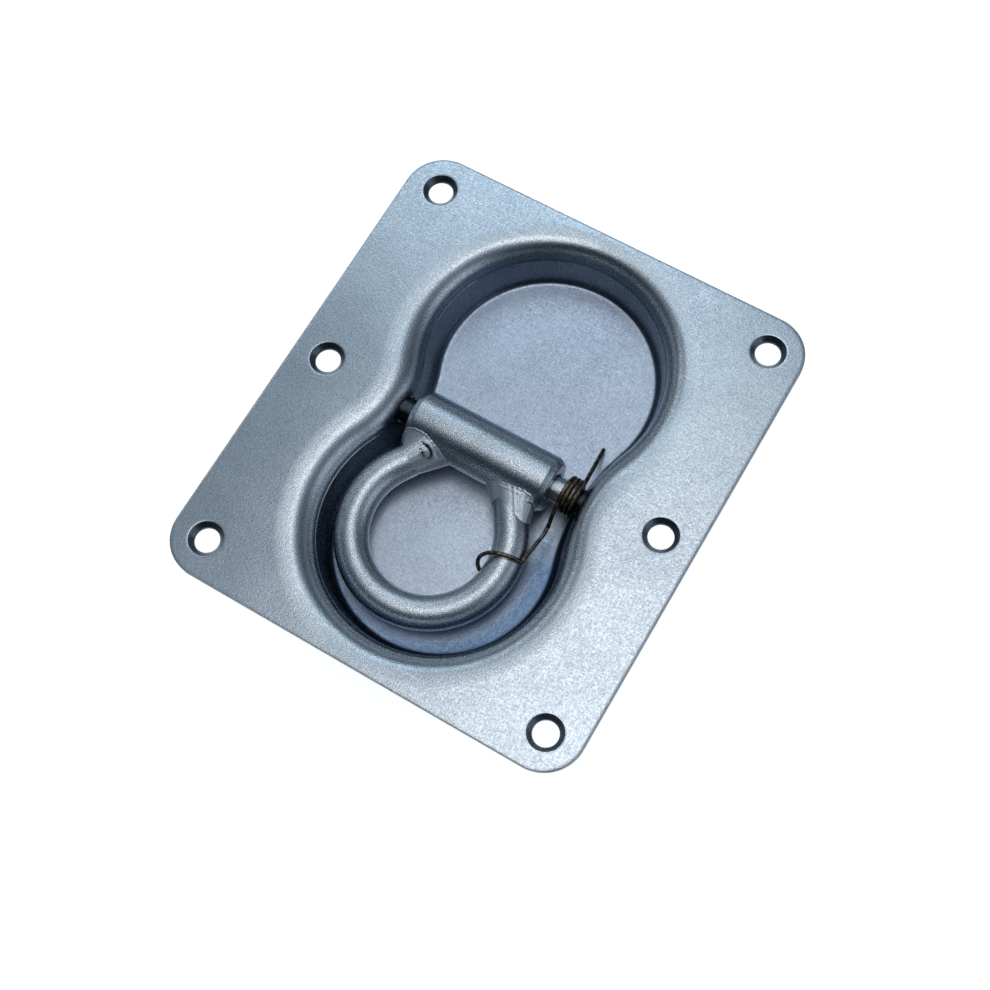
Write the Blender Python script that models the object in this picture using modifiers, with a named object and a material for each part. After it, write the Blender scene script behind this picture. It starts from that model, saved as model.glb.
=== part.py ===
"""Flush mount tie down ring: a pressed steel pan, a hinged ring and the spring that holds it down.

The underside of the pan's floor lies on z = 0. X runs along the hinge pin, and the ring is stored
towards -Y. Lengths are in metres.
"""

import math

import bmesh
import bpy
from mathutils import Vector

MM = 0.001

# Air left between pieces that touch on the real product
SEAT_GAP = 0.3 * MM

# Pan: flange
PLATE_WIDTH = 103.0 * MM
PLATE_LENGTH = 116.0 * MM
PLATE_CORNER_RADIUS = 9.5 * MM
SHEET = 2.0 * MM

# Pan: screw holes, three along each long side
SCREW_EDGE_DISTANCE = 8.5 * MM
SCREW_HOLE_DIAMETER = 5.8 * MM
SCREW_SINK_DEPTH = 1.1 * MM

# Pan: recess, two round lobes that meet at a waist
FLANGE_AT_LOBE_ENDS = 3.0 * MM
LIP_WAIST_ARC_RADIUS = 19.94 * MM
LIP_INNER_RADIUS = 2.4 * MM
WALL_REACH_AT_LOBES = 8.3 * MM
WALL_REACH_AT_WAIST = 7.1 * MM
FLOOR_LOBE_SPREAD = 1.1 * MM
FLOOR_SHIFT_Y = 1.2 * MM
FLOOR_FILLET_RADIUS = 1.8 * MM

# Barrel, and the bays of bare pin between its ends and the lips of the waist
BARREL_DIAMETER = 13.3 * MM
BARREL_LENGTH = 35.7 * MM
BARREL_CHAMFER_ALONG = 1.3 * MM
BARREL_CHAMFER_DEEP = 0.9 * MM
BARREL_FLOOR_CLEARANCE = 0.35 * MM
BARREL_PROUD_OF_FLANGE = 0.25 * MM
PLAIN_BAY = 8.2 * MM
SPRING_BAY = 11.9 * MM

# Pin that the barrel turns on
PIN_HEAD_BELOW_FLANGE = 0.6 * MM
PIN_HEAD_STEP = 0.8 * MM
PIN_HEAD_THICKNESS = 1.4 * MM
PIN_HEAD_ROUNDING = 0.6 * MM
BORE_CLEARANCE = 0.8 * MM

# Ring: round rod bent to an open ring, its two straight tails coped to the barrel
ROD_DIAMETER = 8.0 * MM
RING_SIDE_CLEARANCE = 2.5 * MM
RING_END_CLEARANCE = 2.2 * MM
RING_OFF_BARREL_CENTRE = -0.65 * MM
TAIL_LEAN = math.radians(33.8)

# Weld beads around the tails: what they add to the rod's size each way
WELD_MORE_ALONG_BARREL = 4.0 * MM
WELD_MORE_ALONG_ROD = 2.6 * MM
WELD_MORE_HEIGHT = 2.8 * MM
WELD_OUTWARD_SHIFT = 1.0 * MM

# Torsion spring
WIRE_DIAMETER = 0.95 * MM
COIL_PIN_CLEARANCE = 1.2 * MM
COIL_TURN_GAP = 0.04 * MM
COIL_OFF_BARREL = 3.2 * MM
COIL_WHOLE_TURNS = 3
HOOK_LEG_ANGLE = math.radians(120.0)
HOOK_LEG_SHARE = 0.485
HOOK_LEG_SPLAY = 0.3 * MM
HOOK_WRAP_BEFORE_CENTRE = 3.8 * MM
HOOK_WRAP_PAST_CENTRE = 2.4 * MM
HOOK_WRAP_START = math.radians(38.0)
HOOK_WRAP_END = math.radians(222.0)
HOOK_AIR = 0.35 * MM
FLOOR_LEG_ANGLE = math.radians(53.0)
FLOOR_LEG_SPLAY = 0.9 * MM

# Facets
LOBE_STEPS = 44
WAIST_STEPS = 8
CORNER_STEPS = 8
ROLL_STEPS = 6
FILLET_STEPS = 4
TURNED_STEPS = 40
RING_STEPS = 48
ROD_BEVEL_STEPS = 6
WIRE_BEVEL_STEPS = 2
WELD_STEPS_AROUND = 28
WELD_STEPS_ALONG = 16
COIL_STEPS_PER_TURN = 18
HOOK_WRAP_STEPS = 5
HOOK_POINT_SPACING = 1.6 * MM
MERGE_DISTANCE = 0.001 * MM
ROUND_CREASE = math.radians(32.0)
WIRE_CREASE = math.radians(50.0)

# Heights: the barrel clears the floor and stands just proud of the flange
BARREL_RADIUS = BARREL_DIAMETER / 2
RECESS_DEPTH = BARREL_DIAMETER + BARREL_FLOOR_CLEARANCE - BARREL_PROUD_OF_FLANGE
PLATE_TOP_Z = RECESS_DEPTH + SHEET
AXIS_DEPTH = BARREL_RADIUS - BARREL_PROUD_OF_FLANGE
AXIS_Z = PLATE_TOP_Z - AXIS_DEPTH

# Along the pin: the waist holds the barrel and the two bays
LIP_WAIST_HALF_WIDTH = (PLAIN_BAY + BARREL_LENGTH + SPRING_BAY) / 2
BARREL_CENTRE_X = (PLAIN_BAY - SPRING_BAY) / 2
RING_CENTRE_X = BARREL_CENTRE_X + RING_OFF_BARREL_CENTRE
COIL_START_X = BARREL_CENTRE_X + BARREL_LENGTH / 2 + COIL_OFF_BARREL

# Lobes of the lip: they end a flange's width inside the plate and meet the arcs of the waist
LOBE_SPAN = PLATE_LENGTH / 2 - FLANGE_AT_LOBE_ENDS + LIP_WAIST_ARC_RADIUS
LIP_LOBE_OFFSET = (LOBE_SPAN ** 2 - (LIP_WAIST_HALF_WIDTH + LIP_WAIST_ARC_RADIUS) ** 2) / (2 * LOBE_SPAN)
LIP_LOBE_RADIUS = LOBE_SPAN - LIP_WAIST_ARC_RADIUS - LIP_LOBE_OFFSET
LIP_ROLL_RADIUS = LIP_INNER_RADIUS + SHEET

# Rod and ring, which fill the floor of one lobe
ROD_RADIUS = ROD_DIAMETER / 2
FLOOR_LOBE_RADIUS = LIP_LOBE_RADIUS - WALL_REACH_AT_LOBES
FLOOR_END_Y = LIP_LOBE_OFFSET + FLOOR_LOBE_SPREAD + FLOOR_LOBE_RADIUS - FLOOR_SHIFT_Y
RING_BEND_RADIUS = FLOOR_LOBE_RADIUS - RING_SIDE_CLEARANCE - ROD_RADIUS
RING_REACH = FLOOR_END_Y - RING_END_CLEARANCE - ROD_RADIUS - RING_BEND_RADIUS

# Pin, its bore in the barrel and the spring's coil around it
PIN_HEAD_DIAMETER = 2 * (AXIS_DEPTH - SHEET - PIN_HEAD_BELOW_FLANGE)
PIN_DIAMETER = PIN_HEAD_DIAMETER - 2 * PIN_HEAD_STEP
PIN_RADIUS = PIN_DIAMETER / 2
BARREL_BORE = PIN_DIAMETER + BORE_CLEARANCE
WIRE_RADIUS = WIRE_DIAMETER / 2
COIL_RADIUS = (PIN_DIAMETER + COIL_PIN_CLEARANCE) / 2 + WIRE_RADIUS
COIL_PITCH = WIRE_DIAMETER + COIL_TURN_GAP

# The ring lies on the floor, so its plane drops from the hinge to the far end of the rod
STORED_TILT = math.asin((AXIS_Z - SHEET - SEAT_GAP - ROD_RADIUS) / (RING_REACH + RING_BEND_RADIUS))


def clear_scene():
    """Remove every object of the scene that the script starts from."""
    for old in list(bpy.data.objects):
        bpy.data.objects.remove(old, do_unlink=True)


def make_collection(name):
    collection = bpy.data.collections.new(name)
    bpy.context.scene.collection.children.link(collection)
    return collection


def make_material(name, colour, metallic, roughness):
    material = bpy.data.materials.new(name)
    material.use_nodes = True
    shader = material.node_tree.nodes["Principled BSDF"]
    shader.inputs["Base Color"].default_value = (*colour, 1.0)
    shader.inputs["Metallic"].default_value = metallic
    shader.inputs["Roughness"].default_value = roughness
    return material


def object_from_bmesh(name, bm, collection):
    """Turn a bmesh into an object of the collection."""
    mesh = bpy.data.meshes.new(name)
    bm.to_mesh(mesh)
    bm.free()
    piece = bpy.data.objects.new(name, mesh)
    collection.objects.link(piece)
    return piece


def finish_piece(piece, material, crease=ROUND_CREASE):
    """Give a piece its material, smooth on its round faces and sharp at its edges."""
    piece.data.materials.clear()
    piece.data.materials.append(material)
    piece.data.shade_smooth()
    piece.data.set_sharp_from_angle(angle=crease)


def hide_cutter(cutter):
    cutter.hide_render = True
    cutter.display_type = "WIRE"


def cut_with(piece, cutter):
    """Cut a piece with a closed cutter."""
    boolean = piece.modifiers.new("cut_" + cutter.name, "BOOLEAN")
    boolean.operation = "DIFFERENCE"
    boolean.solver = "EXACT"
    boolean.object = cutter


def turned_object(name, profile, collection, closed=False):
    """Turn a profile of (radius, height) points about the local Z axis."""
    bm = bmesh.new()
    verts = [bm.verts.new((radius, 0.0, height)) for radius, height in profile]
    for first, second in zip(verts, verts[1:]):
        bm.edges.new((first, second))
    if closed:
        bm.edges.new((verts[-1], verts[0]))
    piece = object_from_bmesh(name, bm, collection)
    screw = piece.modifiers.new("turn", "SCREW")
    screw.axis = "Z"
    screw.angle = math.tau
    screw.steps = TURNED_STEPS
    screw.render_steps = TURNED_STEPS
    screw.use_merge_vertices = True
    screw.merge_threshold = MERGE_DISTANCE
    screw.use_smooth_shade = True
    return piece


def wire_object(name, points, radius, bevel_resolution, collection):
    """Sweep a round section along a list of points, and return it as a closed mesh object."""
    curve = bpy.data.curves.new(name, "CURVE")
    curve.dimensions = "3D"
    curve.bevel_depth = radius
    curve.bevel_resolution = bevel_resolution
    curve.use_fill_caps = True
    spline = curve.splines.new("POLY")
    spline.points.add(len(points) - 1)
    for spline_point, point in zip(spline.points, points):
        spline_point.co = (*point, 1.0)
    guide = bpy.data.objects.new(name + "_curve", curve)
    collection.objects.link(guide)
    bpy.context.view_layer.update()
    evaluated = guide.evaluated_get(bpy.context.evaluated_depsgraph_get())
    mesh = bpy.data.meshes.new_from_object(evaluated)
    bm = bmesh.new()
    bm.from_mesh(mesh)
    bmesh.ops.remove_doubles(bm, verts=bm.verts, dist=MERGE_DISTANCE)
    bmesh.ops.recalc_face_normals(bm, faces=bm.faces)
    bm.to_mesh(mesh)
    bm.free()
    piece = bpy.data.objects.new(name, mesh)
    piece.matrix_world = guide.matrix_world
    collection.objects.link(piece)
    bpy.data.objects.remove(guide, do_unlink=True)
    return piece


def arc(centre, radius, start, end, steps):
    """Points of an arc, without its last point."""
    angles = [start + (end - start) * step / steps for step in range(steps)]
    return [(centre[0] + radius * math.cos(a), centre[1] + radius * math.sin(a)) for a in angles]


def plate_outline():
    """Rounded rectangle of the flange, anticlockwise."""
    x = PLATE_WIDTH / 2 - PLATE_CORNER_RADIUS
    y = PLATE_LENGTH / 2 - PLATE_CORNER_RADIUS
    points = []
    for index, centre in enumerate([(x, y), (-x, y), (-x, -y), (x, -y)]):
        start = index * math.pi / 2
        end = start + math.pi / 2
        points += arc(centre, PLATE_CORNER_RADIUS, start, end, CORNER_STEPS)
        points.append((centre[0] + PLATE_CORNER_RADIUS * math.cos(end),
                       centre[1] + PLATE_CORNER_RADIUS * math.sin(end)))
    return points


def wall_sweep(reach):
    """Angle that the rolled lip turns through before the straight wall, from level.

    The wall is the common tangent of the lip's roll and the floor fillet, whose centres lie
    `reach` apart across the wall.
    """
    drop = RECESS_DEPTH - LIP_ROLL_RADIUS - FLOOR_FILLET_RADIUS
    return math.atan2(drop, reach) + math.asin((LIP_ROLL_RADIUS + FLOOR_FILLET_RADIUS)
                                               / math.hypot(reach, drop))


def wall_inset(depth, reach):
    """How far inside the lip line the wall lies at a depth, if it ends `reach` inside at the floor."""
    sweep = wall_sweep(reach)
    roll_depth = LIP_ROLL_RADIUS * (1 - math.cos(sweep))
    fillet_depth = RECESS_DEPTH - FLOOR_FILLET_RADIUS * (1 - math.cos(sweep))
    if depth <= roll_depth:
        return LIP_ROLL_RADIUS * math.sin(math.acos(1 - depth / LIP_ROLL_RADIUS))
    if depth <= fillet_depth:
        return LIP_ROLL_RADIUS * math.sin(sweep) + (depth - roll_depth) / math.tan(sweep)
    lean = math.acos(max(-1.0, min(1.0, 1 - (RECESS_DEPTH - depth) / FLOOR_FILLET_RADIUS)))
    return reach - FLOOR_FILLET_RADIUS * math.sin(lean)


def wall_depths():
    """Depths of the wall's loops: close together over the rolled lip and the floor fillet."""
    sweep = wall_sweep(WALL_REACH_AT_LOBES)
    roll = [sweep * step / ROLL_STEPS for step in range(ROLL_STEPS + 1)]
    fillet = [sweep * (1 - step / FILLET_STEPS) for step in range(FILLET_STEPS + 1)]
    depths = [LIP_ROLL_RADIUS * (1 - math.cos(angle)) for angle in roll]
    return depths + [RECESS_DEPTH - FLOOR_FILLET_RADIUS * (1 - math.cos(angle)) for angle in fillet]


def recess_outline(depth):
    """Figure-eight outline of the recess at a depth, anticlockwise: two lobes and two waist arcs."""
    inset = wall_inset(depth, WALL_REACH_AT_LOBES)
    share = inset / WALL_REACH_AT_LOBES
    lobe = LIP_LOBE_RADIUS - inset
    offset = LIP_LOBE_OFFSET + FLOOR_LOBE_SPREAD * share
    waist_x = waist_wall_x(depth)
    waist = (waist_x ** 2 + offset ** 2 - lobe ** 2) / (2 * (lobe - waist_x))
    centre_x = waist_x + waist
    turn = math.atan2(offset, centre_x)
    points = arc((0.0, offset), lobe, -turn, math.pi + turn, LOBE_STEPS)
    points += arc((-centre_x, 0.0), waist, turn, -turn, WAIST_STEPS)
    points += arc((0.0, -offset), lobe, math.pi - turn, math.tau + turn, LOBE_STEPS)
    points += arc((centre_x, 0.0), waist, math.pi + turn, math.pi - turn, WAIST_STEPS)
    return [(x, y + FLOOR_SHIFT_Y * share) for x, y in points]


def waist_wall_x(depth):
    """Half width between the inner faces of the two waist walls at a depth."""
    return LIP_WAIST_HALF_WIDTH - wall_inset(depth, WALL_REACH_AT_WAIST)


def waist_back_x(depth):
    """Half width over the outside of the two waist walls at a depth below the flange."""
    sweep = wall_sweep(WALL_REACH_AT_WAIST)
    rise = (LIP_ROLL_RADIUS - depth) / LIP_INNER_RADIUS
    if rise > math.cos(sweep):
        return LIP_WAIST_HALF_WIDTH - LIP_INNER_RADIUS * math.sin(math.acos(min(1.0, rise)))
    return waist_wall_x(depth) + SHEET / math.sin(sweep)


def loop_at(bm, outline, z):
    """Closed loop of edges through an outline at one height."""
    verts = [bm.verts.new((x, y, z)) for x, y in outline]
    return [bm.edges.new((verts[i - 1], verts[i])) for i in range(len(verts))]


def make_pan(parts, cutters, material):
    """One pressed sheet, drawn as its top face and thickened downwards."""
    bm = bmesh.new()
    rim = loop_at(bm, plate_outline(), PLATE_TOP_Z)
    loops = [loop_at(bm, recess_outline(depth), PLATE_TOP_Z - depth) for depth in wall_depths()]
    bmesh.ops.triangle_fill(bm, use_beauty=True, edges=rim + loops[0], normal=(0.0, 0.0, 1.0))
    for upper, lower in zip(loops, loops[1:]):
        bmesh.ops.bridge_loops(bm, edges=upper + lower)
    bmesh.ops.contextual_create(bm, geom=loops[-1])
    bmesh.ops.recalc_face_normals(bm, faces=bm.faces)
    if sum(face.normal.z * face.calc_area() for face in bm.faces) < 0.0:
        bmesh.ops.reverse_faces(bm, faces=bm.faces)
    pan = object_from_bmesh("pan", bm, parts)
    sheet = pan.modifiers.new("sheet", "SOLIDIFY")
    sheet.thickness = SHEET
    sheet.offset = -1.0
    sheet.use_even_offset = True
    for index, (x, y) in enumerate(screw_places()):
        cut_with(pan, make_screw_cutter(index, x, y, cutters))
    cut_with(pan, make_pin_hole_cutter(cutters))
    finish_piece(pan, material)
    return pan


def screw_places():
    """Hole centres: three along each long side."""
    column = PLATE_WIDTH / 2 - SCREW_EDGE_DISTANCE
    row = PLATE_LENGTH / 2 - SCREW_EDGE_DISTANCE
    return [(x, y) for x in (-column, column) for y in (-row, 0.0, row)]


def make_screw_cutter(index, x, y, cutters):
    """Through hole with a ninety degree countersink."""
    hole = SCREW_HOLE_DIAMETER / 2
    above = SHEET
    below = -2 * SHEET
    profile = [
        (0.0, above),
        (hole + SCREW_SINK_DEPTH + above, above),
        (hole, -SCREW_SINK_DEPTH),
        (hole, below),
        (0.0, below),
    ]
    cutter = turned_object("screw_hole_%d" % index, profile, cutters)
    cutter.location = (x, y, PLATE_TOP_Z)
    hide_cutter(cutter)
    return cutter


def make_pin_hole_cutter(cutters):
    """Hole for the pin through both waist walls."""
    radius = PIN_RADIUS + SEAT_GAP
    half = LIP_WAIST_HALF_WIDTH + SHEET
    profile = [(0.0, half), (radius, half), (radius, -half), (0.0, -half)]
    cutter = turned_object("pin_holes", profile, cutters)
    cutter.location = (0.0, 0.0, AXIS_Z)
    cutter.rotation_euler = (0.0, math.pi / 2, 0.0)
    hide_cutter(cutter)
    return cutter


def make_pin(parts, material):
    """Plain pin whose ends are peened over outside the waist walls."""
    head = PIN_HEAD_DIAMETER / 2
    seat = waist_back_x(AXIS_DEPTH - head) + SEAT_GAP
    end = seat + PIN_HEAD_THICKNESS
    crown = [
        (0.0, end),
        (head - 2 * PIN_HEAD_ROUNDING, end),
        (head - PIN_HEAD_ROUNDING / 2, end - PIN_HEAD_ROUNDING / 2),
        (head, end - PIN_HEAD_ROUNDING),
        (head, seat),
        (PIN_RADIUS, seat),
    ]
    profile = crown + [(radius, -height) for radius, height in reversed(crown)]
    pin = turned_object("hinge_pin", profile, parts)
    pin.location = (0.0, 0.0, AXIS_Z)
    pin.rotation_euler = (0.0, math.pi / 2, 0.0)
    finish_piece(pin, material)
    return pin


def make_barrel(parts, pivot, material):
    """Thick tube with chamfered ends, on the hinge axis."""
    half = BARREL_LENGTH / 2
    bore = BARREL_BORE / 2
    face = BARREL_RADIUS - BARREL_CHAMFER_DEEP
    shoulder = half - BARREL_CHAMFER_ALONG
    profile = [
        (bore, half),
        (face, half),
        (BARREL_RADIUS, shoulder),
        (BARREL_RADIUS, -shoulder),
        (face, -half),
        (bore, -half),
    ]
    barrel = turned_object("barrel", profile, parts, closed=True)
    barrel.parent = pivot
    barrel.location = (BARREL_CENTRE_X, 0.0, 0.0)
    barrel.rotation_euler = (0.0, math.pi / 2, 0.0)
    finish_piece(barrel, material)
    return barrel


def tail_geometry():
    """Where the rod leaves its bend for the right-hand tail, and the tail's direction.

    Places are relative to the ring's centre.
    """
    direction = Vector((-math.sin(TAIL_LEAN), math.cos(TAIL_LEAN)))
    start = Vector((math.cos(TAIL_LEAN), math.sin(TAIL_LEAN))) * RING_BEND_RADIUS
    return start, direction


def rod_path():
    """Centre line of the rod in the pivot's frame, from tail to tail."""
    start, direction = tail_geometry()
    tail_end = start + direction * ((RING_REACH - start.y) / direction.y)
    bend = arc((0.0, 0.0), RING_BEND_RADIUS, TAIL_LEAN, -math.pi - TAIL_LEAN, RING_STEPS)
    bend.append((-start.x, start.y))
    flat = [tail_end] + [Vector(point) for point in bend] + [Vector((-tail_end.x, tail_end.y))]
    return [Vector((RING_CENTRE_X + point[0], point[1] - RING_REACH, 0.0)) for point in flat]


def make_barrel_cope(cutters, pivot):
    """The barrel's outside, with the air that is left around it."""
    radius = BARREL_RADIUS + SEAT_GAP
    half = BARREL_LENGTH / 2 + BARREL_RADIUS
    profile = [(0.0, half), (radius, half), (radius, -half), (0.0, -half)]
    cutter = turned_object("barrel_cope", profile, cutters)
    cutter.parent = pivot
    cutter.location = (BARREL_CENTRE_X, 0.0, 0.0)
    cutter.rotation_euler = (0.0, math.pi / 2, 0.0)
    hide_cutter(cutter)
    return cutter


def make_ring(parts, pivot, cope, material):
    """The bent rod, coped to the barrel at both tails."""
    ring = wire_object("ring", rod_path(), ROD_RADIUS, ROD_BEVEL_STEPS, parts)
    ring.parent = pivot
    cut_with(ring, cope)
    finish_piece(ring, material)
    return ring


def make_rod_sleeve(cutters, pivot):
    """The rod's outside, with the air that is left around it."""
    sleeve = wire_object("rod_sleeve", rod_path(), ROD_RADIUS + SEAT_GAP, ROD_BEVEL_STEPS, cutters)
    sleeve.parent = pivot
    hide_cutter(sleeve)
    return sleeve


def make_weld(name, side, parts, pivot, cope, sleeve, material):
    """Bead laid around one tail where it meets the barrel."""
    start, direction = tail_geometry()
    foot = start + direction * ((RING_REACH - BARREL_RADIUS - start.y) / direction.y)
    bm = bmesh.new()
    bmesh.ops.create_uvsphere(bm, u_segments=WELD_STEPS_AROUND, v_segments=WELD_STEPS_ALONG,
                              radius=ROD_RADIUS)
    size = (
        1 + WELD_MORE_ALONG_BARREL / ROD_DIAMETER,
        1 + WELD_MORE_ALONG_ROD / ROD_DIAMETER,
        1 + WELD_MORE_HEIGHT / ROD_DIAMETER,
    )
    bmesh.ops.scale(bm, vec=size, verts=bm.verts)
    bead = object_from_bmesh(name, bm, parts)
    bead.parent = pivot
    bead.location = (RING_CENTRE_X + side * (foot.x + WELD_OUTWARD_SHIFT), foot.y - RING_REACH, 0.0)
    cut_with(bead, cope)
    cut_with(bead, sleeve)
    finish_piece(bead, material)
    return bead


def coil_point(angle, x, centre_z, radius):
    return Vector((x, radius * math.cos(angle), centre_z + radius * math.sin(angle)))


def smooth_route(knots, spacing):
    """Points along a smooth curve through the knots."""
    route = []
    for index in range(len(knots) - 1):
        before = knots[max(index - 1, 0)]
        first = knots[index]
        second = knots[index + 1]
        after = knots[min(index + 2, len(knots) - 1)]
        steps = max(2, round((second - first).length / spacing))
        for step in range(steps):
            t = step / steps
            route.append(0.5 * (2 * first + (second - before) * t
                                + (2 * before - 5 * first + 4 * second - after) * t ** 2
                                + (3 * first - before - 3 * second + after) * t ** 3))
    route.append(knots[-1])
    return route


def rod_section(y):
    """Centre of the stored rod's right-hand side, where it crosses a line across the pan."""
    along = -y / math.cos(STORED_TILT)
    x = RING_CENTRE_X + math.sqrt(RING_BEND_RADIUS ** 2 - (along - RING_REACH) ** 2)
    return Vector((x, y, AXIS_Z - along * math.sin(STORED_TILT)))


def hook_knots(leg_start, leg_direction):
    """Route of the hooked leg: out over the rod, round its inner side and under it."""
    clear = ROD_RADIUS + WIRE_RADIUS + HOOK_AIR
    wrap_start = RING_REACH - HOOK_WRAP_BEFORE_CENTRE
    wrap_end = RING_REACH + HOOK_WRAP_PAST_CENTRE
    knots = [leg_start]
    for share in (0.5, 1.0):
        splay = Vector((HOOK_LEG_SPLAY * share, 0.0, 0.0))
        knots.append(leg_start + leg_direction * wrap_start * HOOK_LEG_SHARE * share + splay)
    for step in range(HOOK_WRAP_STEPS + 1):
        share = step / HOOK_WRAP_STEPS
        angle = HOOK_WRAP_START + (HOOK_WRAP_END - HOOK_WRAP_START) * share
        section = rod_section(-wrap_start - (wrap_end - wrap_start) * share)
        knots.append(section + Vector((clear * math.cos(angle), 0.0, clear * math.sin(angle))))
    return knots


def make_spring(parts, material):
    """Coil on the pin beside the barrel, a leg that bears on the floor and a leg that hooks the rod."""
    lift = COIL_PIN_CLEARANCE / 2 - SEAT_GAP
    centre_z = AXIS_Z + lift
    turn = math.tau * COIL_WHOLE_TURNS + HOOK_LEG_ANGLE - FLOOR_LEG_ANGLE
    steps = round(turn / math.tau * COIL_STEPS_PER_TURN)
    coil = []
    for step in range(steps + 1):
        angle = HOOK_LEG_ANGLE - turn * step / steps
        x = COIL_START_X + COIL_PITCH * (HOOK_LEG_ANGLE - angle) / math.tau
        coil.append(coil_point(angle, x, centre_z, COIL_RADIUS))
    leave = Vector((0.0, -math.sin(HOOK_LEG_ANGLE), math.cos(HOOK_LEG_ANGLE)))
    hook = smooth_route(hook_knots(coil[0], leave), HOOK_POINT_SPACING)
    fall = Vector((0.0, math.sin(FLOOR_LEG_ANGLE), -math.cos(FLOOR_LEG_ANGLE)))
    tip_z = SHEET + WIRE_RADIUS + SEAT_GAP
    tip = coil[-1] + fall * ((coil[-1].z - tip_z) / -fall.z)
    tip.x = COIL_START_X + FLOOR_LEG_SPLAY
    points = list(reversed(hook[1:])) + coil + [tip]
    spring = wire_object("torsion_spring", points, WIRE_RADIUS, WIRE_BEVEL_STEPS, parts)
    finish_piece(spring, material, WIRE_CREASE)
    return spring


def main():
    clear_scene()
    parts = make_collection("flush_mount_tie_down_ring")
    cutters = make_collection("cutters")

    pan_steel = make_material("zinc_pan", (0.42, 0.48, 0.55), 0.9, 0.38)
    ring_steel = make_material("zinc_ring", (0.45, 0.49, 0.53), 1.0, 0.28)
    pin_steel = make_material("zinc_pin", (0.62, 0.65, 0.67), 1.0, 0.24)
    weld_steel = make_material("weld_metal", (0.50, 0.51, 0.52), 1.0, 0.40)
    spring_steel = make_material("spring_wire", (0.16, 0.13, 0.10), 0.9, 0.35)

    pivot = bpy.data.objects.new("ring_pivot", None)
    pivot.location = (0.0, 0.0, AXIS_Z)
    pivot.rotation_euler = (STORED_TILT, 0.0, 0.0)
    parts.objects.link(pivot)

    make_pan(parts, cutters, pan_steel)
    make_pin(parts, pin_steel)
    make_barrel(parts, pivot, ring_steel)
    cope = make_barrel_cope(cutters, pivot)
    sleeve = make_rod_sleeve(cutters, pivot)
    make_ring(parts, pivot, cope, ring_steel)
    make_weld("weld_left", -1, parts, pivot, cope, sleeve, weld_steel)
    make_weld("weld_right", 1, parts, pivot, cope, sleeve, weld_steel)
    make_spring(parts, spring_steel)


main()
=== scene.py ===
"""Looks of the flush mount tie down ring: zinc plated steel, weld beads and a dark spring wire.

Lengths are in metres. The hinge pin runs along X at AXIS_Z and the ring is stored towards -Y.
"""

import math
from collections import namedtuple

import bmesh
import bpy
from mathutils import Matrix, Vector, noise


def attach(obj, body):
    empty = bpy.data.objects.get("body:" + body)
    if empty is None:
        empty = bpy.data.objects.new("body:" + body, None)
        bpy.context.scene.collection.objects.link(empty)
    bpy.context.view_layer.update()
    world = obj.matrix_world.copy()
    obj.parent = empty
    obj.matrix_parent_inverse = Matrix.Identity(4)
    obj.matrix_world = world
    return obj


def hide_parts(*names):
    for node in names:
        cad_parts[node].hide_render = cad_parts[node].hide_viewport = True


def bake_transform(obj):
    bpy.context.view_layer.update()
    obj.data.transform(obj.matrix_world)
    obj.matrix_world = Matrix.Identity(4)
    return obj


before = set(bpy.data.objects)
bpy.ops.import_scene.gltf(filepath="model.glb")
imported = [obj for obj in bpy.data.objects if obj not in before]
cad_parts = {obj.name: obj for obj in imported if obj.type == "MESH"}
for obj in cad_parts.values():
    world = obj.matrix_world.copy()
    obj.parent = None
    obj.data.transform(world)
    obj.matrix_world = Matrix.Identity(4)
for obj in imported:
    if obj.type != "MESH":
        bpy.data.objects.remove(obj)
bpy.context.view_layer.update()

MM = 0.001

# Sizes of the pan
PLATE_WIDTH = 103.0 * MM
PLATE_LENGTH = 116.0 * MM
PLATE_CORNER = 9.5 * MM
SHEET = 2.0 * MM
DEPTH = 13.4 * MM
TOP_Z = DEPTH + SHEET
EDGE_ROUND = 0.22 * MM
SCREW_EDGE = 8.5 * MM
SCREW_RADIUS = 2.9 * MM
SINK_DEPTH = 1.1 * MM
LOBE_RADIUS = 32.8 * MM
LOBE_OFFSET = 22.2 * MM
WAIST_HALF = 27.9 * MM
REACH_AT_LOBES = 8.3 * MM
REACH_AT_WAIST_RIGHT = 7.1 * MM
REACH_AT_WAIST_LEFT = 7.9 * MM
LOBE_SPREAD = 1.1 * MM
FLOOR_SHIFT = 1.2 * MM
ROLL_AT_LOBES = 5.8 * MM
ROLL_AT_WAIST_RIGHT = 4.8 * MM
ROLL_AT_WAIST_LEFT = 6.0 * MM
FILLET = 1.8 * MM
SHOULDER = 3.6 * MM
SHOULDER_SLOPE = math.radians(6.0)
CREASE_IN = 0.16 * MM
CREASE_DOWN = 0.13 * MM
HOLD = 0.5 * MM
STEP = 0.002 * MM
PAN_SHARP = 38.0

# Sizes of the hinge
AXIS_Z = 9.0 * MM
BARREL_RADIUS = 6.63 * MM
BARREL_HALF = 17.85 * MM
BARREL_X = -1.85 * MM
BORE_RADIUS = 3.4 * MM
CHAMFER_ALONG = 1.3 * MM
CHAMFER_DEEP = 0.9 * MM
PIN_RADIUS = 3.0 * MM
PIN_HEAD = 3.8 * MM
PIN_HALF = 28.0 * MM
HEAD_THICK = 1.4 * MM
PIN_CLEAR = 0.3 * MM

# Sizes of the ring
ROD = 4.0 * MM
BEND = 18.0 * MM
REACH = 22.4 * MM
RING_X = -2.5 * MM
TAIL_LEAN = math.radians(33.8)
TAIL_COPE = 0.80 * BARREL_RADIUS
STORED_TILT = math.asin((AXIS_Z - SHEET - 0.3 * MM - ROD) / (REACH + BEND))
STORED = Matrix.Translation((0.0, 0.0, AXIS_Z)) @ Matrix.Rotation(STORED_TILT, 4, "X")

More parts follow.
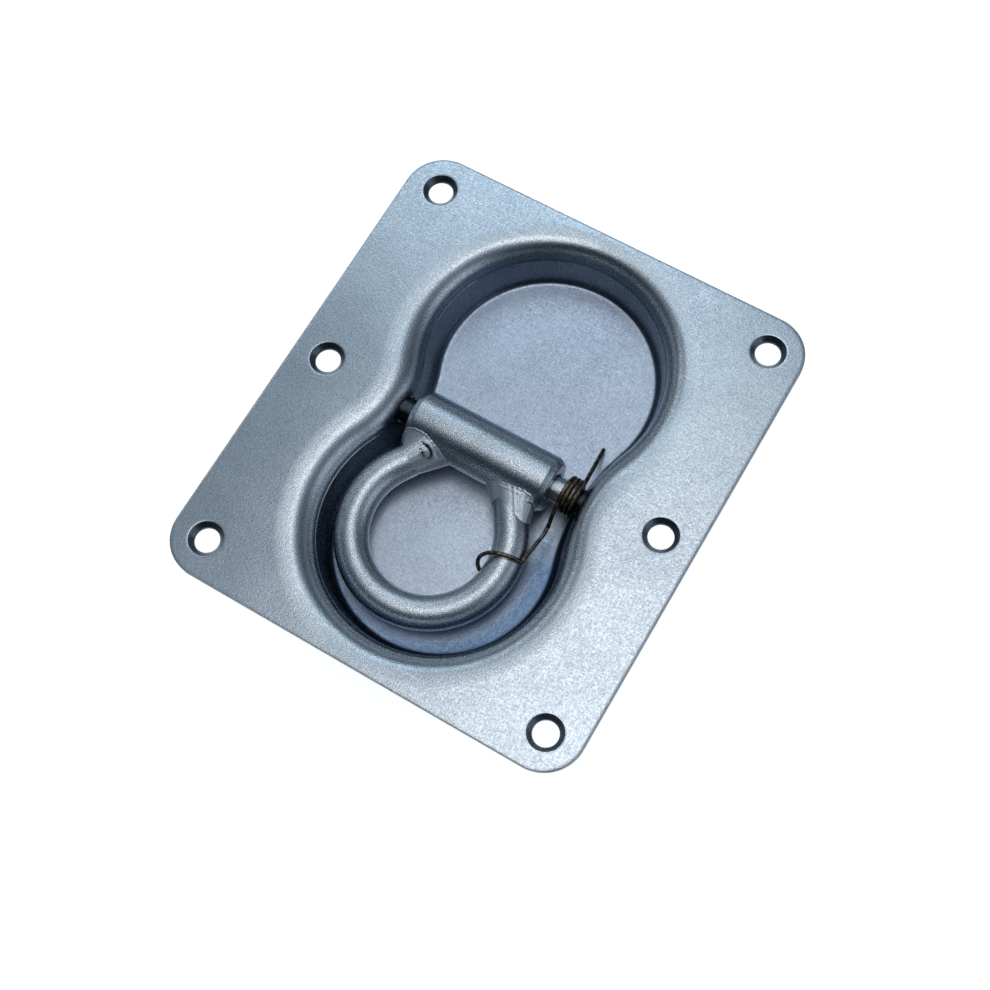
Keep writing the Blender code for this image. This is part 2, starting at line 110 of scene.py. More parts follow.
# Sizes of the weld beads
BEAD_ROWS = 56
BEAD_AROUND = 160
BEAD_FOOT = 0.1 * MM
TOE_WANDER = 0.3 * MM
GROOVE_FADE = 8.0
CRATER_STRETCH = 1.75
DROP_RADIUS = 0.23 * MM

# Sizes of the spring
WIRE = 0.475 * MM
COIL_RADIUS = 4.075 * MM
COIL_Z = AXIS_Z + 0.3 * MM
COIL_X = 19.2 * MM
COIL_PITCH = 0.99 * MM
COIL_TURNS = 3
HOOK_ANGLE = math.radians(120.0)
LEG_ANGLE = math.radians(53.0)
ARM_SHARE = 0.485
ARM_DRIFT = 0.3 * MM
HOOK_CLEAR = 0.35 * MM
LEG_CLEAR = 0.3 * MM
LEG_SHIFT = 0.9 * MM

# The photograph's frame and the focal length that fits it, in pixels
FRAME_SIZE = 990.0
FOCAL_LENGTH = 1638.699

# The table and the room
TABLE_HALF = 3.0
TABLE_GAP = 0.05 * MM
TABLE_GREY = 0.8


# Meshes


def clamped(value):
    """Value held between 0 and 1."""
    return min(1.0, max(0.0, value))


def new_piece(name, bm, material, body, stands_for, crease=35.0):
    """Object of a finished bmesh, smooth between its creases, that rides on a body."""
    bmesh.ops.remove_doubles(bm, verts=bm.verts, dist=0.0005 * MM)
    bmesh.ops.recalc_face_normals(bm, faces=bm.faces)
    mesh = bpy.data.meshes.new(name)
    bm.to_mesh(mesh)
    bm.free()
    mesh.shade_smooth()
    mesh.set_sharp_from_angle(angle=math.radians(crease))
    mesh.materials.append(material)
    piece = bpy.data.objects.new(name, mesh)
    bpy.context.scene.collection.objects.link(piece)
    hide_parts(*stands_for)
    if body:
        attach(piece, body)
    return piece


def loop_at(bm, outline, z):
    """Closed loop of edges through an outline at one height."""
    verts = [bm.verts.new((x, y, z)) for x, y in outline]
    return [bm.edges.new((verts[i - 1], verts[i])) for i in range(len(verts))]


def bridge_all(bm, loops):
    """Skin over a row of loops."""
    for first, second in zip(loops, loops[1:]):
        bmesh.ops.bridge_loops(bm, edges=first + second)


def spun_about_x(profile, steps):
    """Closed profile of (x, radius) points turned about the X axis."""
    bm = bmesh.new()
    verts = [bm.verts.new((x, 0.0, radius)) for x, radius in profile]
    edges = [bm.edges.new((verts[i - 1], verts[i])) for i in range(len(verts))]
    bmesh.ops.spin(bm, geom=verts + edges, cent=(0.0, 0.0, 0.0), axis=(1.0, 0.0, 0.0),
                   angle=math.tau, steps=steps, use_merge=True, use_duplicate=False)
    return bm


def rounded_corner(before, corner, after, radius, steps):
    """Points that round one corner of a profile."""
    before, corner, after = Vector(before), Vector(corner), Vector(after)
    start = corner + (before - corner).normalized() * radius
    end = corner + (after - corner).normalized() * radius
    points = []
    for step in range(steps + 1):
        t = step / steps
        points.append(tuple(start * (1 - t) ** 2 + corner * 2 * t * (1 - t) + end * t ** 2))
    return points


def rounded_profile(corners, radii, steps=4):
    """Closed profile with each corner rounded by its own radius."""
    points = []
    for i, (corner, radius) in enumerate(zip(corners, radii)):
        after = corners[(i + 1) % len(corners)]
        if radius > 0.0:
            points += rounded_corner(corners[i - 1], corner, after, radius, steps)
        else:
            points.append(corner)
    return points


# The pan


def plate_outline(inset):
    """Rounded rectangle of the flange, drawn in by an inset."""
    x = PLATE_WIDTH / 2 - PLATE_CORNER
    y = PLATE_LENGTH / 2 - PLATE_CORNER
    radius = PLATE_CORNER - inset
    points = []
    for index, (cx, cy) in enumerate([(x, y), (-x, y), (-x, -y), (x, -y)]):
        for step in range(25):
            angle = (index + step / 24) * math.pi / 2
            points.append((cx + radius * math.cos(angle), cy + radius * math.sin(angle)))
    return points


def wall_profile(reach, roll):
    """Points (inset, depth, slope) of the sheet's top face, from the shoulder to the floor."""
    shoulder_steps, roll_steps, fillet_steps = 8, 14, 9
    inset, depth = -SHOULDER, 0.0
    points = [(inset, depth, 0.0)]
    for step in range(shoulder_steps):
        slope = SHOULDER_SLOPE * math.sin(math.pi / 2 * (step + 0.5) / shoulder_steps)
        inset += SHOULDER / shoulder_steps
        depth += SHOULDER / shoulder_steps * math.tan(slope)
        end_slope = SHOULDER_SLOPE * math.sin(math.pi / 2 * (step + 1) / shoulder_steps)
        points.append((inset, depth, end_slope))
    low, high = math.radians(60.0), math.radians(100.0)
    for _ in range(50):
        sweep = (low + high) / 2
        fall = DEPTH - depth - CREASE_DOWN - roll * (math.cos(SHOULDER_SLOPE) - math.cos(sweep))
        straight = (fall - FILLET * (1 - math.cos(sweep))) / math.sin(sweep)
        across = roll * (math.sin(sweep) - math.sin(SHOULDER_SLOPE)) + straight * math.cos(sweep)
        if CREASE_IN + across + FILLET * math.sin(sweep) > reach:
            low = sweep
        else:
            high = sweep
    start = depth
    for step in range(1, roll_steps + 1):
        slope = SHOULDER_SLOPE + (sweep - SHOULDER_SLOPE) * step / roll_steps
        points.append((roll * (math.sin(slope) - math.sin(SHOULDER_SLOPE)),
                       start + roll * (math.cos(SHOULDER_SLOPE) - math.cos(slope)), slope))
    start, depth, _ = points[-1]
    for share in (0.0, 0.04, 0.3, 0.6, 0.9):
        points.append((start + CREASE_IN + straight * share * math.cos(sweep),
                       depth + CREASE_DOWN + straight * share * math.sin(sweep), sweep))
    for step in range(fillet_steps + 1):
        slope = sweep * (1 - step / fillet_steps)
        points.append((reach - FILLET * math.sin(slope), DEPTH - FILLET * (1 - math.cos(slope)), slope))
    return points


def on_back(points):
    """The same profile on the sheet's back face."""
    return [(inset - SHEET * math.sin(slope), depth + SHEET * math.cos(slope), slope)
            for inset, depth, slope in points]


def inset_at(points, depth):
    """How far inside the lip line a profile lies at a depth."""
    for (inset, above, _), (after, below, _) in zip(points, points[1:]):
        if depth <= below:
            return inset + (after - inset) * max(0.0, depth - above) / max(below - above, 1e-9)
    return points[-1][0]


def figure_eight(lobe_inset, left_inset, right_inset):
    """Outline of the recess: two lobes joined by the arcs of the waist."""
    share = clamped(lobe_inset / REACH_AT_LOBES)
    lobe = LOBE_RADIUS - lobe_inset
    offset = LOBE_OFFSET + LOBE_SPREAD * share
    waists = []
    for inset in (left_inset, right_inset):
        waist_x = WAIST_HALF - inset
        radius = (waist_x ** 2 + offset ** 2 - lobe ** 2) / (2 * (lobe - waist_x))
        waists.append((waist_x + radius, radius, math.atan2(offset, waist_x + radius)))
    (left_x, left, left_turn), (right_x, right, right_turn) = waists
    arcs = [
        (0.0, offset, lobe, -right_turn, math.pi + left_turn, 88),
        (-left_x, 0.0, left, left_turn, -left_turn, 24),
        (0.0, -offset, lobe, math.pi - left_turn, math.tau + right_turn, 88),
        (right_x, 0.0, right, math.pi + right_turn, math.pi - right_turn, 24),
    ]
    end = LOBE_OFFSET + LOBE_RADIUS
    points = []
    for cx, cy, radius, start, finish, steps in arcs:
        for step in range(steps):
            angle = start + (finish - start) * step / steps
            y = cy + radius * math.sin(angle) + FLOOR_SHIFT * share
            if abs(y) > end:
                y = math.copysign(end + (abs(y) - end) * 0.5, y)
            points.append((cx + radius * math.cos(angle), y))
    return points


def wall_loops(bm, back):
    """Loops from the flange, over the lip and down to the floor, on one face of the sheet."""
    profiles = [wall_profile(REACH_AT_LOBES, ROLL_AT_LOBES),
                wall_profile(REACH_AT_WAIST_LEFT, ROLL_AT_WAIST_LEFT),
                wall_profile(REACH_AT_WAIST_RIGHT, ROLL_AT_WAIST_RIGHT)]
    if back:
        profiles = [on_back(points) for points in profiles]
    sink = SHEET if back else 0.0
    rows = [max(sink + STEP * (1 + index), depth) for index, (_, depth, _) in enumerate(profiles[0])]
    loops = []
    for depth in rows:
        insets = [inset_at(points, depth) for points in profiles]
        loops.append(loop_at(bm, figure_eight(*insets), TOP_Z - depth))
    insets = [points[-1][0] + HOLD for points in profiles]
    loops.append(loop_at(bm, figure_eight(*insets), TOP_Z - sink - DEPTH + (STEP if back else -STEP)))
    return loops


def circle_at(bm, x, y, radius, z, steps=48):
    """Closed loop of edges round a circle."""
    outline = [(x + radius * math.cos(math.tau * i / steps), y + radius * math.sin(math.tau * i / steps))
               for i in range(steps)]
    return loop_at(bm, outline, z)


def screw_hole(bm, x, y):
    """Countersunk hole through the flange. Returns its outermost loops on the top and the back."""
    soft = 0.12 * MM
    sink = SCREW_RADIUS + SINK_DEPTH
    top, back = TOP_Z, TOP_Z - SHEET
    rows = [
        (sink + 0.6 * MM, top),
        (sink + soft, top - STEP),
        (sink + 0.3 * soft, top - 0.25 * soft),
        (sink - 0.5 * soft, top - soft),
        (SCREW_RADIUS + soft, top - SINK_DEPTH + soft * 0.6),
        (SCREW_RADIUS + 0.2 * soft, top - SINK_DEPTH - 0.2 * soft),
        (SCREW_RADIUS, top - SINK_DEPTH - soft),
        (SCREW_RADIUS, back + 0.2 * MM),
        (SCREW_RADIUS + 0.05 * MM, back + 0.06 * MM),
        (SCREW_RADIUS + 0.18 * MM, back + STEP),
        (SCREW_RADIUS + 0.7 * MM, back),
    ]
    loops = [circle_at(bm, x, y, radius, z) for radius, z in rows]
    bridge_all(bm, loops)
    return loops[0], loops[-1]


def make_pan(material):
    """Pressed sheet with a rounded edge, six countersunk holes and the figure-eight recess."""
    bm = bmesh.new()
    rim = [(0.9 * MM, 0.0), (EDGE_ROUND, STEP), (0.3 * EDGE_ROUND, 0.3 * EDGE_ROUND), (0.0, EDGE_ROUND)]
    top_rim = [loop_at(bm, plate_outline(inset), TOP_Z - drop) for inset, drop in rim]
    back_rim = [loop_at(bm, plate_outline(inset), TOP_Z - SHEET + drop) for inset, drop in rim]
    bridge_all(bm, top_rim)
    bridge_all(bm, back_rim)
    bmesh.ops.bridge_loops(bm, edges=top_rim[-1] + back_rim[-1])
    faces = {False: top_rim[0], True: back_rim[0]}
    for back in (False, True):
        loops = wall_loops(bm, back)
        bridge_all(bm, loops)
        bmesh.ops.contextual_create(bm, geom=loops[-1])
        faces[back] = faces[back] + loops[0]
    for x in (SCREW_EDGE - PLATE_WIDTH / 2, PLATE_WIDTH / 2 - SCREW_EDGE):
        for y in (SCREW_EDGE - PLATE_LENGTH / 2, 0.0, PLATE_LENGTH / 2 - SCREW_EDGE):
            top, under = screw_hole(bm, x, y)
            faces[False] = faces[False] + top
            faces[True] = faces[True] + under
    bmesh.ops.triangle_fill(bm, use_beauty=True, edges=faces[False], normal=(0.0, 0.0, 1.0))
    bmesh.ops.triangle_fill(bm, use_beauty=True, edges=faces[True], normal=(0.0, 0.0, 1.0))
    pan = new_piece("pan_pressing", bm, material, None, ["pan"], PAN_SHARP)
    drill_pin_holes(pan)
    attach(pan, "pan")


def drill_pin_holes(pan):
    """Round holes for the pin through both waist walls."""
    bm = bmesh.new()
    bore = PIN_RADIUS + PIN_CLEAR
    along_pin = Matrix.Translation((0.0, 0.0, AXIS_Z)) @ Matrix.Rotation(math.pi / 2, 4, "Y")
    bmesh.ops.create_cone(bm, cap_ends=True, segments=56, radius1=bore, radius2=bore,
                          depth=2 * (WAIST_HALF + SHEET), matrix=along_pin)
    mesh = bpy.data.meshes.new("pin_holes")
    bm.to_mesh(mesh)
    bm.free()
    drill = bpy.data.objects.new("pin_holes", mesh)
    bpy.context.scene.collection.objects.link(drill)
    cut = pan.modifiers.new("pin_holes", "BOOLEAN")
    cut.operation = "DIFFERENCE"
    cut.solver = "EXACT"
    cut.object = drill
    bpy.context.view_layer.update()
    drilled = bpy.data.meshes.new_from_object(pan.evaluated_get(bpy.context.evaluated_depsgraph_get()))
    pan.modifiers.clear()
    pan.data = drilled
    pan.data.set_sharp_from_angle(angle=math.radians(PAN_SHARP))
    bpy.data.objects.remove(drill, do_unlink=True)


# The hinge, the ring and its welds


def make_barrel(material):
    """Turned tube with chamfered ends, each edge just broken."""
    face = BARREL_RADIUS - CHAMFER_DEEP
    shoulder = BARREL_HALF - CHAMFER_ALONG
    corners = [
        (-BARREL_HALF, BORE_RADIUS), (-BARREL_HALF, face), (-shoulder, BARREL_RADIUS),
        (shoulder, BARREL_RADIUS), (BARREL_HALF, face), (BARREL_HALF, BORE_RADIUS),
    ]
    radii = [0.2 * MM, 0.22 * MM, 0.3 * MM, 0.3 * MM, 0.22 * MM, 0.2 * MM]
    bm = spun_about_x(rounded_profile(corners, radii), 96)
    bmesh.ops.translate(bm, vec=(BARREL_X, 0.0, 0.0), verts=bm.verts)
    bmesh.ops.transform(bm, matrix=STORED, verts=bm.verts)
    new_piece("barrel_tube", bm, material, "ring", ["barrel"])


def make_pin(material):
    """Pin with both ends peened over into low domed heads."""
    seat = PIN_HALF - HEAD_THICK
    corners = [
        (PIN_HALF, 0.0), (PIN_HALF - 0.15 * MM, 0.55 * PIN_HEAD), (PIN_HALF - 0.45 * MM, PIN_HEAD),
        (seat, PIN_HEAD), (seat, PIN_RADIUS),
        (-seat, PIN_RADIUS), (-seat, PIN_HEAD), (0.45 * MM - PIN_HALF, PIN_HEAD),
        (0.15 * MM - PIN_HALF, 0.55 * PIN_HEAD), (-PIN_HALF, 0.0),
    ]
    radii = [0.0, 0.6 * MM, 0.5 * MM, 0.15 * MM, 0.1 * MM, 0.1 * MM, 0.15 * MM, 0.5 * MM, 0.6 * MM, 0.0]
    bm = spun_about_x(rounded_profile(corners, radii), 72)
    bmesh.ops.translate(bm, vec=(0.0, 0.0, AXIS_Z), verts=bm.verts)
    new_piece("peened_pin", bm, material, "pan", ["hinge_pin"])


def tail_frame(side):
    """Start of a tail on the bend and its direction, in the hinge's frame."""
    start = Vector((side * math.cos(TAIL_LEAN), math.sin(TAIL_LEAN), 0.0)) * BEND
    direction = Vector((-side * math.sin(TAIL_LEAN), math.cos(TAIL_LEAN), 0.0))
    return start + Vector((RING_X, -REACH, 0.0)), direction


def make_ring(material):
    """Round rod: a straight tail, the bend and the other tail."""
    start, direction = tail_frame(1)
    tail = (-start.y - TAIL_COPE) / direction.y
    bm = bmesh.new()
    turn = direction.to_track_quat("Z", "X").to_matrix().to_4x4()
    made = bmesh.ops.create_circle(bm, cap_ends=True, segments=44, radius=ROD,
                                   matrix=Matrix.Translation(start + direction * tail) @ turn)
    edges = list({edge for vert in made["verts"] for edge in vert.link_edges})
    swept = bmesh.ops.extrude_edge_only(bm, edges=edges)["geom"]
    verts = [item for item in swept if isinstance(item, bmesh.types.BMVert)]
    bmesh.ops.translate(bm, vec=-direction * tail, verts=verts)
    edges = [item for item in swept if isinstance(item, bmesh.types.BMEdge)]
    edges = [edge for edge in edges if all(vert in verts for vert in edge.verts)]
    spun = bmesh.ops.spin(bm, geom=verts + edges, cent=(RING_X, -REACH, 0.0), axis=(0.0, 0.0, 1.0),
                          angle=-(math.pi + 2 * TAIL_LEAN), steps=132, use_merge=False)["geom_last"]
    edges = [item for item in spun if isinstance(item, bmesh.types.BMEdge)]
    swept = bmesh.ops.extrude_edge_only(bm, edges=edges)["geom"]
    verts = [item for item in swept if isinstance(item, bmesh.types.BMVert)]
    _, other = tail_frame(-1)
    bmesh.ops.translate(bm, vec=other * tail, verts=verts)
    bmesh.ops.holes_fill(bm, edges=bm.edges, sides=0)
    bmesh.ops.transform(bm, matrix=STORED, verts=bm.verts)
    new_piece("bent_ring", bm, material, "ring", ["ring"])


def weld_point(centre, direction, across, angle, radius, setback):
    """Point at an angle and radius about the tail, set back along it from the barrel's surface."""
    spoke = across * math.cos(angle) + Vector((0.0, 0.0, 1.0)) * math.sin(angle)
    base = centre + spoke * radius
    height = min(abs(base.z), BARREL_RADIUS * 0.98)
    gap = (-math.sqrt(BARREL_RADIUS ** 2 - height ** 2) - base.y) / direction.y
    return base + direction * (gap - setback)


def between(rows, degrees):
    """Values at an angle, eased between the rows of a table (degrees, value, value) round a circle."""
    rows = [*rows, (rows[0][0] + 360.0, *rows[0][1:])]
    degrees = (degrees - rows[0][0]) % 360.0 + rows[0][0]
    for first, second in zip(rows, rows[1:]):
        if degrees <= second[0]:
            t = (degrees - first[0]) / (second[0] - first[0])
            t = t * t * (3 - 2 * t)
            return [a + (b - a) * t for a, b in zip(first[1:], second[1:])]
    return rows[0][1:]


# A weld has its side, toes as rows of (degrees from the outer side, toe radius, length along the rod) in mm,
# the first and last angle of its groove, its crater's angle and share of the bead, size and depth, and the
# places of the drops in the crater, in mm from its middle
Weld = namedtuple("Weld", "side toes groove crater_at crater_size crater_depth drops")

LEFT_WELD = Weld(
    side=-1,
    toes=(
        (-90.0, 4.3, 3.5), (-20.0, 4.3, 2.2), (0.0, 4.5, 1.5), (20.0, 5.3, 1.4), (30.0, 6.0, 1.7),
        (42.0, 7.2, 2.3), (50.0, 6.8, 3.1), (60.0, 6.15, 4.0), (70.0, 5.6, 5.0), (80.0, 5.1, 5.6),
        (90.0, 4.75, 6.1), (105.0, 4.45, 6.5), (130.0, 4.4, 6.8), (180.0, 5.2, 5.6), (230.0, 4.6, 4.5),
    ),
    groove=(38.0, 86.0),
    crater_at=(106.0, 0.62),
    crater_size=1.1 * MM,
    crater_depth=0.35 * MM,
    drops=((-0.75, -0.55), (0.05, -0.45), (0.8, -0.6)),
)
RIGHT_WELD = Weld(
    side=1,
    toes=(
        (-90.0, 4.3, 3.5), (-20.0, 4.4, 3.8), (0.0, 4.9, 4.0), (10.0, 5.4, 4.2), (20.0, 5.9, 4.5),
        (30.0, 6.4, 5.0), (40.0, 6.9, 5.5), (50.0, 6.2, 5.8), (60.0, 5.4, 6.0), (70.0, 4.8, 5.9),
        (80.0, 4.4, 5.6), (100.0, 4.25, 5.0), (120.0, 4.3, 3.8), (180.0, 5.2, 4.5), (230.0, 4.6, 4.0),
    ),
    groove=(24.0, 54.0),
    crater_at=(33.0, 0.70),
    crater_size=0.6 * MM,
    crater_depth=0.35 * MM,
    drops=((-0.35, -0.5), (0.5, -0.45)),
)


def bell(value, centre, width, power=2):
    """Bump one high at its centre, flatter on top with a higher power."""
    return math.exp(-((value - centre) / width) ** power)


def bead_size(weld, degrees, v):
    """Radius of the bead, v of the way from the rod to the barrel, and its length along the rod."""
    angle = math.radians(degrees)
    toe, along = (value * MM for value in between(weld.toes, degrees))
    along += TOE_WANDER * noise.noise(Vector((math.cos(angle) * 1.3, math.sin(angle) * 1.3, weld.side * 3.7)))
    inner = 0.5 - 0.5 * math.cos(angle)
    cone = (0.7 * v + 0.3 * v * v) * (1 - inner) + (1 - math.cos(v * math.pi / 2)) * inner
    foot = ROD + BEAD_FOOT
    return foot + (toe - foot) * cone, along


def bead_detail(weld, degrees, v, radius, along):
    """Height of the bead's ridges, groove and crater at one point, and how much painted shade its hollows get
    there.
    """
    angle = math.radians(degrees)
    first, last = weld.groove
    share = clamped((degrees - first) / GROOVE_FADE) * clamped((last - degrees) / GROOVE_FADE)
    relief = 0.25 * MM * (0.4 + 0.6 * share) * bell(v, 0.95, 0.04)
    relief += 0.12 * MM * bell(v, 0.77, 0.06) - 0.15 * MM * share * bell(v, 0.875, 0.032)
    ripple = Vector((math.cos(angle) * 5, math.sin(angle) * 5, v * 3 + weld.side * 9))
    relief += 0.08 * MM * noise.noise(ripple)
    turn, height = weld.crater_at
    swing = math.radians((degrees - turn + 180.0) % 360.0 - 180.0) * radius
    reach = (v - height) * along
    away = math.hypot(swing / CRATER_STRETCH, reach) / weld.crater_size
    hole = bell(away, 0.0, 1.0, 4)
    rim = bell(away, 0.0, 1.4, 6) - hole
    drop = min(1.0, sum(bell(math.hypot(swing - a * MM, reach - b * MM), 0.0, DROP_RADIUS)
                        for a, b in weld.drops))
    relief += weld.crater_depth * (0.6 * max(0.0, rim) + hole * drop)
    # Painted shade in the groove and on the crater's floor, left off the drops
    dark = 2.5 * max(share * bell(v, 0.865, 0.055, 4), hole * (1.0 - 1.4 * drop))
    return relief, clamped(dark)


def make_weld(name, stands_for, weld, material):
    """Fillet weld around a tail: a cone with a ridge along its toe, a groove and a crater."""
    centre, direction = tail_frame(weld.side)
    across = Vector((weld.side * direction.y, -weld.side * direction.x, 0.0))
    bm = bmesh.new()
    # Share of painted shade in the bead's hollows, kept on each vertex
    hollow_shade = bm.verts.layers.float.new("hollow_shade")
    loops = []
    for row in range(BEAD_ROWS + 1):
        v = row / BEAD_ROWS
        verts = []
        for step in range(BEAD_AROUND):
            degrees = 360.0 * step / BEAD_AROUND
            radius, along = bead_size(weld, degrees, v)
            relief, dark = bead_detail(weld, degrees, v, radius, along)
            point = weld_point(centre, direction, across, math.radians(degrees),
                               radius + 0.8 * relief, along * (1 - v) + 0.5 * relief)
            vert = bm.verts.new(point)
            vert[hollow_shade] = dark
            verts.append(vert)
        loops.append([bm.edges.new((verts[i - 1], verts[i])) for i in range(BEAD_AROUND)])
    bridge_all(bm, loops)
    bmesh.ops.bridge_loops(bm, edges=loops[-1] + loops[0])
    bmesh.ops.transform(bm, matrix=STORED, verts=bm.verts)
    new_piece(name, bm, material, "ring", [stands_for], 60.0)


# The spring


def rod_section(y):
    """Centre of the stored rod's right-hand side, where it crosses a line across the pan."""
    along = -y / math.cos(STORED_TILT)
    x = RING_X + math.sqrt(BEND ** 2 - (along - REACH) ** 2)
    return Vector((x, y, AXIS_Z - along * math.sin(STORED_TILT)))


def smooth_route(knots, spacing):
    """Points along a smooth curve through the knots."""
    route = []
    for i in range(len(knots) - 1):
        before, first = knots[max(i - 1, 0)], knots[i]
        second, after = knots[i + 1], knots[min(i + 2, len(knots) - 1)]
        steps = max(2, round((second - first).length / spacing))
        for step in range(steps):
            t = step / steps
            route.append(0.5 * (2 * first + (second - before) * t
                                + (2 * before - 5 * first + 4 * second - after) * t ** 2
                                + (3 * first - before - 3 * second + after) * t ** 3))
    route.append(knots[-1])
    return route


def coil_route():
    """Whole turns of the wire round the pin, from the hook's side to the leg's."""
    turn = math.tau * COIL_TURNS + HOOK_ANGLE - LEG_ANGLE
    steps = round(turn / math.tau * 56)
    coil = []
    for step in range(steps + 1):
        angle = HOOK_ANGLE - turn * step / steps
        x = COIL_X + COIL_PITCH * (HOOK_ANGLE - angle) / math.tau
        coil.append(Vector((x, COIL_RADIUS * math.cos(angle), COIL_Z + COIL_RADIUS * math.sin(angle))))
    return coil


def hook_route(start):
    """Straight arm from the coil to the ring, and the hook that lies over the rod and curls under it."""
    leave = Vector((0.0, -math.sin(HOOK_ANGLE), math.cos(HOOK_ANGLE)))
    hook_y = REACH - 3.5 * MM
    knots = [start]
    for share in (0.5, 1.0):
        knots.append(start + leave * hook_y * ARM_SHARE * share + Vector((ARM_DRIFT * share, 0.0, 0.0)))
    clear = ROD + WIRE + HOOK_CLEAR
    # Degrees round the rod, how far along it and how far off it, in mm
    wrap = ((38, 0.0, 0.0), (64, 0.4, 0.0), (92, 0.9, 0.0), (118, 1.5, 0.3), (142, 2.3, 0.7),
            (166, 3.3, 0.9), (190, 4.3, 0.7), (214, 5.1, 0.2))
    for angle, advance, bulge in wrap:
        section = rod_section(-hook_y - advance * MM)
        spoke = Vector((math.cos(math.radians(angle)), 0.0, math.sin(math.radians(angle))))
        knots.append(section + spoke * (clear + bulge * MM))
    knots.insert(3, knots[2].lerp(knots[3], 0.86))
    return smooth_route(knots, 0.45 * MM)


def leg_route(start):
    """Straight leg from the coil down to the pan's floor."""
    fall = Vector((0.0, math.sin(LEG_ANGLE), -math.cos(LEG_ANGLE)))
    tip = start + fall * ((start.z - SHEET - WIRE - LEG_CLEAR) / -fall.z)
    tip.x = COIL_X + LEG_SHIFT
    return [start.lerp(tip, step / 24) for step in range(1, 25)]


def spring_route():
    """Centre line of the wire: hook round the rod, coil on the pin and the leg on the floor."""
    coil = coil_route()
    return list(reversed(hook_route(coil[0])[1:])) + coil + leg_route(coil[-1])


def make_spring(material):
    """Round wire wound along the route between the pan and the ring."""
    route = spring_route()
    curve = bpy.data.curves.new("wire", "CURVE")
    curve.dimensions = "3D"
    curve.bevel_depth = WIRE
    curve.bevel_resolution = 4
    curve.use_fill_caps = True
    spline = curve.splines.new("POLY")
    spline.points.add(len(route) - 1)
    for spline_point, point in zip(spline.points, route):
        spline_point.co = (*point, 1.0)
    guide = bpy.data.objects.new("wire", curve)
    bpy.context.scene.collection.objects.link(guide)
    bpy.context.view_layer.update()
    mesh = bpy.data.meshes.new_from_object(guide.evaluated_get(bpy.context.evaluated_depsgraph_get()))
    bpy.data.objects.remove(guide, do_unlink=True)
    bm = bmesh.new()
    bm.from_mesh(mesh)
    spring = new_piece("spring_wire", bm, material, None, ["torsion_spring"], 50.0)
    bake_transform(spring)


# Finishes and painted shade


def node(tree, kind, **values):
    """New shader node; plain names set its properties and in_ names set its inputs."""
    made = tree.nodes.new(kind)
    for key, value in values.items():
        if key.startswith("in_"):
            made.inputs[key[3:].replace("_", " ")].default_value = value
        else:
            setattr(made, key, value)
    return made


def math_node(tree, operation, first, second, clamp=False):
    """Math node whose two inputs are sockets or numbers. Returns its output."""
    made = tree.nodes.new("ShaderNodeMath")
    made.operation = operation
    made.use_clamp = clamp
    for socket, value in zip(made.inputs, (first, second)):
        if isinstance(value, (int, float)):
            socket.default_value = value
        else:
            tree.links.new(value, socket)
    return made.outputs[0]


def product(tree, first, *others):
    """Product of sockets or numbers."""
    for other in others:
        first = math_node(tree, "MULTIPLY", first, other)
    return first


def inverse(tree, value):
    """One less a value."""
    return math_node(tree, "SUBTRACT", 1.0, value)


def split(tree, vector):
    """The X, Y and Z of a vector."""
    made = tree.nodes.new("ShaderNodeSeparateXYZ")
    tree.links.new(vector, made.inputs[0])
    return made.outputs


def mapped(tree, vector, scale, turn=0.0):
    """Coordinates scaled, and turned about Z."""
    made = tree.nodes.new("ShaderNodeMapping")
    made.inputs["Rotation"].default_value = (0.0, 0.0, math.radians(turn))
    made.inputs["Scale"].default_value = scale
    tree.links.new(vector, made.inputs["Vector"])
    return made.outputs["Vector"]


def noise_of(tree, vector, scale, detail=2.0, roughness=0.5):
    """Noise texture's value."""
    made = node(tree, "ShaderNodeTexNoise", in_Scale=scale, in_Detail=detail, in_Roughness=roughness)
    tree.links.new(vector, made.inputs["Vector"])
    return made.outputs["Fac"]


def ranged(tree, value, low, high, to_low=0.0, to_high=1.0):
    """Value stretched from one range onto another, and clamped."""
    made = node(tree, "ShaderNodeMapRange")
    made.inputs["From Min"].default_value = low
    made.inputs["From Max"].default_value = high
    made.inputs["To Min"].default_value = to_low
    made.inputs["To Max"].default_value = to_high
    tree.links.new(value, made.inputs["Value"])
    return made.outputs["Result"]


def group_shell(name, inputs, outputs):
    """Empty shader group with named sockets."""
    tree = bpy.data.node_groups.new(name, "ShaderNodeTree")
    for label, kind, value in inputs:
        socket = tree.interface.new_socket(label, in_out="INPUT", socket_type=kind)
        if value is not None:
            socket.default_value = value
    for label, kind in outputs:
        tree.interface.new_socket(label, in_out="OUTPUT", socket_type=kind)
    return tree, tree.nodes.new("NodeGroupInput"), tree.nodes.new("NodeGroupOutput")


